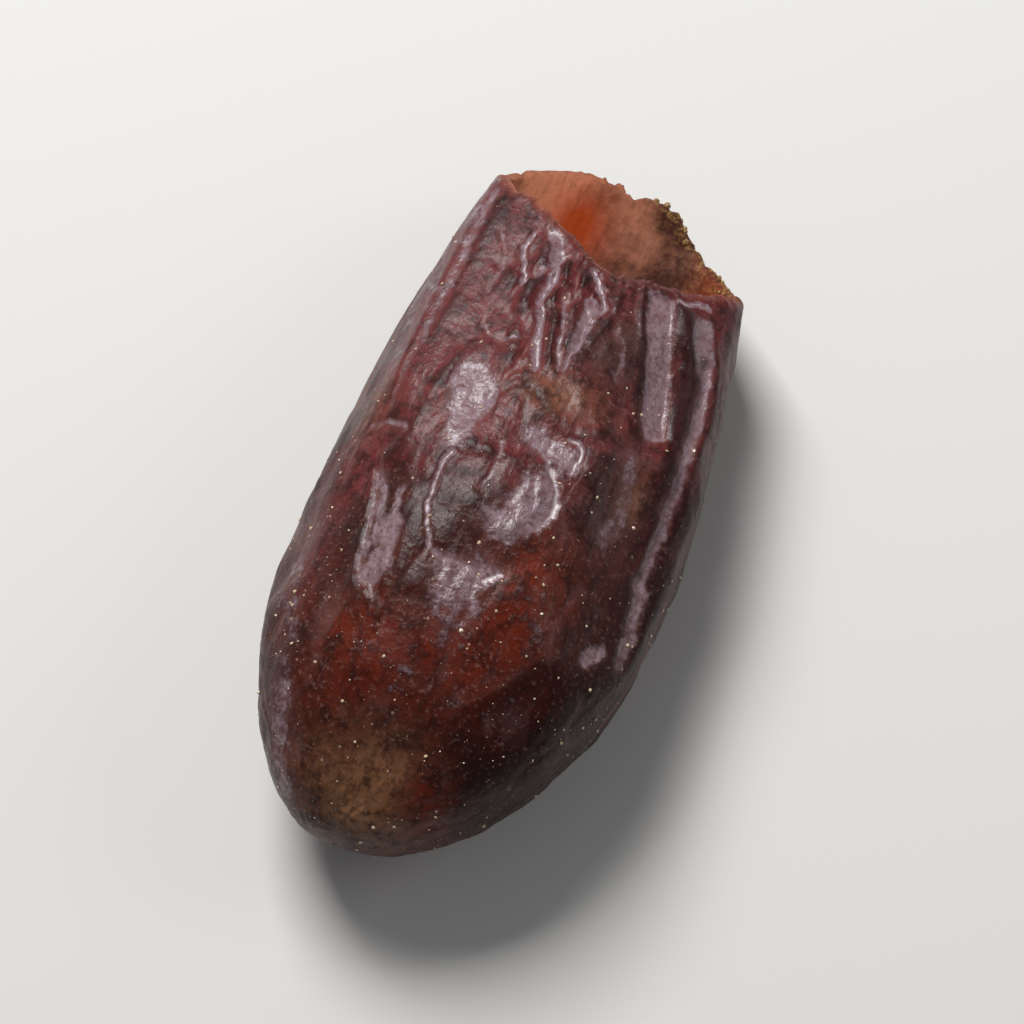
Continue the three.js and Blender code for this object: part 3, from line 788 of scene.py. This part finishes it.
# Each line has the new field, the field it reads, two levels of that one, and the new field's value at each.
skinRamps = (
    ("mottledShare", "mottle", 0.42, 0.62, 0, 0.85),
    ("blotchShare", "blotch", 0.48, 0.64, 0, 0.75),
    ("greyedShare", "greyed", 0, 1, 0, 0.85),
    ("shadedShare", "shaded", 0, 1, 0, 0.85),
    ("streakShare", "streak", 0.5, 0.68, 0, 0.6),
    ("flakeShare", "flake", 0.54, 0.74, 0, 0.6),
    ("grainShare", "grain", 0.56, 0.74, 0, 0.45),
    # painted highlight on the crests and painted shade in the creases, both read from the relief
    ("crestHighlightShare", "crease", 0.56, 0.95, 0, 0.4),
    ("creaseShadeShare", "crease", 0.44, 0.1, 0, 0.8),
    # painted sheen, pale lifted skin with a painted highlight, and painted glints
    ("paintedSheenShare", "lifted", 0.1, 0.8, 0, 0.5),
    ("liftedEdge", "ragged", 1.24, 1.6, 0, 1),
    ("glintShare", "lifted", 1.0, 1.2, 0, 0.85),
    ("scuffed", "grain", 0.36, 0.5, 0.3, 1),
    ("worn", "flake", 0.38, 0.56, 0.5, 1),
    ("insideCell", "cellDistance", 0.1, 0.16, 1, 0),
    ("chosenCell", "cellChance", 0.72, 0.76, 0, 0.85),
    ("fleshMottle", "mottle", 0.35, 0.65, -0.3, 0.3),
    ("fleshStreak", "streak", 0.5, 0.7, 0, 0.4),
    ("rimShare", "flake", 0.42, 0.6, 0.2, 1),
    ("rimGrain", "grain", 0.4, 0.56, 0, 1),
    ("roughness", "mottle", 0.3, 0.7, *skinLook["roughness"]),
    ("wetPatches", "blotch", 0.42, 0.6, 0.14, 0.02),
    ("crinkleRidge", "crinkle", 0, 0.18, 1, 0),
)
# Each line makes the first field by multiplying the other two.
skinProducts = (
    ("rubbed", "scuffed", "worn"),
    ("liftedShare", "liftedEdge", "rubbed"),
    ("insideSpeck", "insideCell", "chosenCell"),
    ("speckShare", "insideSpeck", "speckled"),
    ("rimEdge", "rim", "rimShare"),
    ("wetness", "wet", "wetPatches"),
)
# Each colour is laid over the ones before it, as thickly as its field says.
skinStacks = {
    "skin": ("tight", (
        ("mottledShare", "mottled"),
        ("loose", "loose"),
        ("greyedShare", "greyed"),
        ("tan", "tan"),
        ("cling", "cling"),
        # painted shade over the lower right, the flanks and the underside
        ("shadedShare", "shaded"),
        ("blotchShare", "mottled"),
        ("streakShare", "streak"),
        ("flakeShare", "mottled"),
        ("grainShare", "grain"),
        # painted highlight on crests, painted sheen, lifted skin painted pale with a highlight, painted
        # shade in creases and painted glints
        ("crestHighlightShare", "crest"),
        ("paintedSheenShare", "paintedSheen"),
        ("liftedShare", "lifted"),
        ("creaseShadeShare", "crease"),
        ("glintShare", "glint"),
        ("speckShare", "speck"),
    )),
    "flesh": ("fleshLight", (
        # painted shade deep in the hollow, with mottles of the flesh's own tone
        ("hollowShadeAndMottle", "fleshDark"),
        ("orangeFlesh", "fleshOrange"),
        ("fleshStreak", "fleshDark"),
    )),
    "rim": ("rimGold", (("rimGrain", "rimDark"),)),
}
# How strongly each field bumps the surface, and how high in millimetres.
skinBumps = (
    ("crinkleRidge", 0.25, 0.02),
    ("streak", 0.5, 0.07),
    ("blotch", 0.4, 0.1),
    ("flake", 0.4, 0.07),
    ("grain", 0.5, 0.05),
    ("liftedEdge", 0.5, 0.03),
)


def patternFields(tree, look):
    # every field that the skin's colours and bumps are made from, by name
    place = addNode(tree, "ShaderNodeTexCoord", {}, {}).outputs["Object"]
    field = {}
    for name in skinMasks:
        field[name] = addNode(tree, "ShaderNodeAttribute", {"attribute_name": name}, {}).outputs["Fac"]
    for name, (size, detail, finer) in look["clouds"].items():
        cloud = addNode(tree, "ShaderNodeTexNoise", {}, {
            "Vector": place, "Scale": 1 / (size * mm), "Detail": detail, "Roughness": finer})
        field[name] = cloud.outputs["Fac"]
    stretched = addNode(tree, "ShaderNodeMapping", {"vector_type": "POINT"}, {
        "Vector": place, "Scale": tuple(1 / (size * mm) for size in look["streakSize"])})
    streak = addNode(tree, "ShaderNodeTexNoise", {}, {
        "Vector": stretched.outputs[0], "Scale": 1, "Detail": 5, "Roughness": 0.6})
    field["streak"] = streak.outputs["Fac"]
    cells = addNode(tree, "ShaderNodeTexVoronoi", {}, {
        "Vector": place, "Scale": 1 / (look["speckSpacing"] * mm)})
    field["cellDistance"] = cells.outputs["Distance"]
    chance = addNode(tree, "ShaderNodeSeparateColor", {}, {"Color": cells.outputs["Color"]})
    field["cellChance"] = chance.outputs[0]
    crinkle = addNode(tree, "ShaderNodeTexVoronoi", {"feature": "DISTANCE_TO_EDGE"}, {
        "Vector": place, "Scale": 1 / (look["crinkleSize"] * mm)})
    field["crinkle"] = crinkle.outputs["Distance"]
    # lifted skin ends at a ragged edge
    ragged = addNode(tree, "ShaderNodeMath", {"operation": "MULTIPLY_ADD"}, {
        0: field["flake"], 1: 0.8, 2: field["lifted"]}).outputs[0]
    field["ragged"] = addNode(tree, "ShaderNodeMath", {"operation": "MULTIPLY_ADD"}, {
        0: field["blotch"], 1: 1.1, 2: ragged}).outputs[0]
    for name, source, start, end, low, high in skinRamps:
        ramp = addNode(tree, "ShaderNodeMapRange", {}, {
            "Value": field[source], "From Min": start, "From Max": end, "To Min": low, "To Max": high})
        field[name] = ramp.outputs[0]
    for name, first, second in skinProducts:
        field[name] = addNode(tree, "ShaderNodeMath", {"operation": "MULTIPLY"}, {
            0: field[first], 1: field[second]}).outputs[0]
    # painted shade in the hollow, with mottles of the flesh's own tone
    field["hollowShadeAndMottle"] = addNode(tree, "ShaderNodeMath", {"operation": "ADD"}, {
        0: field["hollowShade"], 1: field["fleshMottle"]}).outputs[0]
    return field


def layeredColour(tree, field, hexColours):
    hues = {name: linearColour(text) for name, text in hexColours.items()}
    colours = {}
    for name, (base, coats) in skinStacks.items():
        colours[name] = hues[base]
        for share, hue in coats:
            colours[name] = addNode(tree, "ShaderNodeMix", {"data_type": "RGBA"}, {
                0: field[share], 6: colours[name], 7: hues[hue]}).outputs[2]
    colour = addNode(tree, "ShaderNodeMix", {"data_type": "RGBA"}, {
        0: field["flesh"], 6: colours["skin"], 7: colours["flesh"]}).outputs[2]
    return addNode(tree, "ShaderNodeMix", {"data_type": "RGBA"}, {
        0: field["rimEdge"], 6: colour, 7: colours["rim"]}).outputs[2]


def makeDateSkin(look):
    material, tree = startMaterial("driedDateSkin")
    field = patternFields(tree, look)
    colour = layeredColour(tree, field, look["colours"])
    roughness = addNode(tree, "ShaderNodeMath", {"operation": "MULTIPLY_ADD"}, {
        0: field["liftedShare"], 1: -0.1, 2: field["roughness"]}).outputs[0]
    roughness = addNode(tree, "ShaderNodeMath", {"operation": "MULTIPLY_ADD"}, {
        0: field["flesh"], 1: 0.3, 2: roughness}).outputs[0]
    coat = addNode(tree, "ShaderNodeMath", {"operation": "MULTIPLY_ADD"}, {
        0: field["liftedShare"], 1: 0.5, 2: field["wetness"]}).outputs[0]
    normal = None
    for name, strength, height in skinBumps:
        bump = addNode(tree, "ShaderNodeBump", {}, {
            "Strength": strength, "Distance": height * mm, "Height": field[name]})
        if normal is not None:
            tree.links.new(normal, bump.inputs["Normal"])
        normal = bump.outputs[0]
    shader = addNode(tree, "ShaderNodeBsdfPrincipled", {}, {
        "Base Color": colour,
        "Roughness": roughness,
        "Normal": normal,
        "Coat Weight": coat,
        "Coat Normal": normal,
        "Coat Roughness": look["coatRoughness"],
        "IOR": 1.46,
        "Specular IOR Level": 0.22,
        "Subsurface Weight": look["subsurface"],
        "Subsurface Radius": (1.0, 0.35, 0.15),
        "Subsurface Scale": look["subsurfaceDepth"] * mm,
    })
    addNode(tree, "ShaderNodeOutputMaterial", {}, {"Surface": shader.outputs[0]})
    return material


dateSkin = makeDateSkin(skinLook)
datePiece.data.materials.append(dateSkin)
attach(datePiece, "root")
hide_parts("date")
print("skin material made")


# Sugar crystals that came out of the flesh as it dried: small, hard, pale and glassy. Crumbs of torn flesh
# at the rim are duller and browner.
scatters = {
    "sugar_specks": {
        "material": "driedSugar",
        "colour": "#d6bf9f",
        "roughness": 0.2,
        "where": "speckled",  # the mesh attribute that says how thickly they lie
        "perSquareMm": 3.6,  # where that attribute is 1
        "smallest": 0.03,  # radius
        "largest": 0.15,
        "seed": 4,
    },
    "rim_crumbs": {
        "material": "tornFleshCrumb",
        "colour": "#94703f",
        "roughness": 0.4,
        "where": "crumbled",
        "perSquareMm": 6.0,
        "smallest": 0.06,
        "largest": 0.32,
        "seed": 9,
    },
}


def makeCrystals(look):
    material, tree = startMaterial(look["material"])
    shader = addNode(tree, "ShaderNodeBsdfPrincipled", {}, {
        "Base Color": linearColour(look["colour"]), "Roughness": look["roughness"], "IOR": 1.54})
    addNode(tree, "ShaderNodeOutputMaterial", {}, {"Surface": shader.outputs[0]})
    return material


def makeScatterTree(name, material, where):
    # balls scattered over a surface, as thickly as the attribute says
    tree = bpy.data.node_groups.new(name, "GeometryNodeTree")
    tree.interface.new_socket("Geometry", in_out="INPUT", socket_type="NodeSocketGeometry")
    for label in ("Density", "Smallest", "Largest"):
        tree.interface.new_socket(label, in_out="INPUT", socket_type="NodeSocketFloat")
    tree.interface.new_socket("Seed", in_out="INPUT", socket_type="NodeSocketInt")
    tree.interface.new_socket("Geometry", in_out="OUTPUT", socket_type="NodeSocketGeometry")
    given = addNode(tree, "NodeGroupInput", {}, {}).outputs
    amount = addNode(tree, "GeometryNodeInputNamedAttribute", {"data_type": "FLOAT"}, {"Name": where})
    density = addNode(tree, "ShaderNodeMath", {"operation": "MULTIPLY"}, {
        0: amount.outputs["Attribute"], 1: given["Density"]})
    points = addNode(tree, "GeometryNodeDistributePointsOnFaces", {}, {
        "Mesh": given["Geometry"], "Density": density.outputs[0], "Seed": given["Seed"]})
    ball = addNode(tree, "GeometryNodeMeshIcoSphere", {}, {"Radius": 1.0, "Subdivisions": 1})
    chance = addNode(tree, "FunctionNodeRandomValue", {"data_type": "FLOAT"}, {"Seed": given["Seed"]})
    mostlySmall = addNode(tree, "ShaderNodeMath", {"operation": "POWER"}, {0: chance.outputs[1], 1: 4.5})
    size = addNode(tree, "ShaderNodeMapRange", {}, {
        "Value": mostlySmall.outputs[0], "To Min": given["Smallest"], "To Max": given["Largest"]})
    turn = addNode(tree, "FunctionNodeRandomValue", {"data_type": "FLOAT_VECTOR"}, {
        1: (6.28, 6.28, 6.28)})  # radians, a whole turn about each axis
    squash = addNode(tree, "FunctionNodeRandomValue", {"data_type": "FLOAT_VECTOR"}, {0: (0.5, 0.5, 0.5)})
    scale = addNode(tree, "ShaderNodeVectorMath", {"operation": "SCALE"}, {
        0: squash.outputs[0], "Scale": size.outputs[0]})
    balls = addNode(tree, "GeometryNodeInstanceOnPoints", {}, {
        "Points": points.outputs["Points"],
        "Instance": ball.outputs["Mesh"],
        "Rotation": turn.outputs[0],
        "Scale": scale.outputs[0],
    })
    real = addNode(tree, "GeometryNodeRealizeInstances", {}, {0: balls.outputs[0]})
    finished = addNode(tree, "GeometryNodeSetMaterial", {}, {
        "Geometry": real.outputs[0], "Material": material})
    addNode(tree, "NodeGroupOutput", {}, {0: finished.outputs[0]})
    return tree


def makeScatter(name, choice, surface):
    tree = makeScatterTree(name, makeCrystals(choice), choice["where"])
    piece = bpy.data.objects.new(name, surface.data.copy())
    bpy.context.scene.collection.objects.link(piece)
    modifier = piece.modifiers.new(name, "NODES")
    modifier.node_group = tree
    sizes = {
        "Density": choice["perSquareMm"] / mm ** 2,
        "Smallest": choice["smallest"] * mm,
        "Largest": choice["largest"] * mm,
        "Seed": choice["seed"],
    }
    for socket in tree.interface.items_tree:
        if socket.in_out == "INPUT" and socket.name in sizes:
            modifier[socket.identifier] = sizes[socket.name]
    evaluated = piece.evaluated_get(bpy.context.evaluated_depsgraph_get())
    mesh = bpy.data.meshes.new_from_object(evaluated)
    piece.modifiers.clear()
    piece.data = mesh
    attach(piece, "root")
    print(name, "scattered,", len(mesh.polygons), "faces")


for scatterName, scatterChoice in scatters.items():
    makeScatter(scatterName, scatterChoice, datePiece)


tableLook = {"colour": "#e6e4e1", "roughness": 0.8, "size": 3000}


def makeTable(look):
    mesh = bpy.data.meshes.new("table")
    half = look["size"] / 2 * mm
    corners = [(-half, -half, 0), (half, -half, 0), (half, half, 0), (-half, half, 0)]
    mesh.from_pydata(corners, [], [(0, 1, 2, 3)])
    table = bpy.data.objects.new("table", mesh)
    bpy.context.scene.collection.objects.link(table)
    material, tree = startMaterial("mattPaper")
    shader = addNode(tree, "ShaderNodeBsdfPrincipled", {}, {
        "Base Color": linearColour(look["colour"]), "Roughness": look["roughness"]})
    addNode(tree, "ShaderNodeOutputMaterial", {}, {"Surface": shader.outputs[0]})
    mesh.materials.append(material)


# Each softbox: the way its light comes from, in degrees round from -Y towards +X and above the table, its
# distance and size in millimetres, and its watts.
lights = [
    {"name": "windowLeft", "azimuth": 224, "elevation": 51, "distance": 420, "size": 180, "watts": 1.9},
    {"name": "bounceRight", "azimuth": 122, "elevation": 38, "distance": 420, "size": 170, "watts": 0.16},
]
studio = {"colour": "#f2f4f8", "strength": 0.15}


def makeLights(boxes, surround):
    for light in boxes:
        data = bpy.data.lights.new(light["name"], "AREA")
        data.shape = "SQUARE"
        data.size = light["size"] * mm
        data.energy = light["watts"]
        lamp = bpy.data.objects.new(light["name"], data)
        turn, rise = math.radians(light["azimuth"]), math.radians(light["elevation"])
        away = Vector((math.sin(turn) * math.cos(rise), -math.cos(turn) * math.cos(rise), math.sin(rise)))
        lamp.location = away * light["distance"] * mm
        lamp.rotation_euler = (-away).to_track_quat("-Z", "Y").to_euler()
        bpy.context.scene.collection.objects.link(lamp)
    world = bpy.data.worlds.new("studio")
    world.use_nodes = True
    background = world.node_tree.nodes["Background"]
    background.inputs[0].default_value = linearColour(surround["colour"])
    background.inputs[1].default_value = surround["strength"]
    bpy.context.scene.world = world


makeTable(tableLook)
makeLights(lights, studio)
bpy.context.scene.view_settings.view_transform = "Standard"
print("table and lights set")
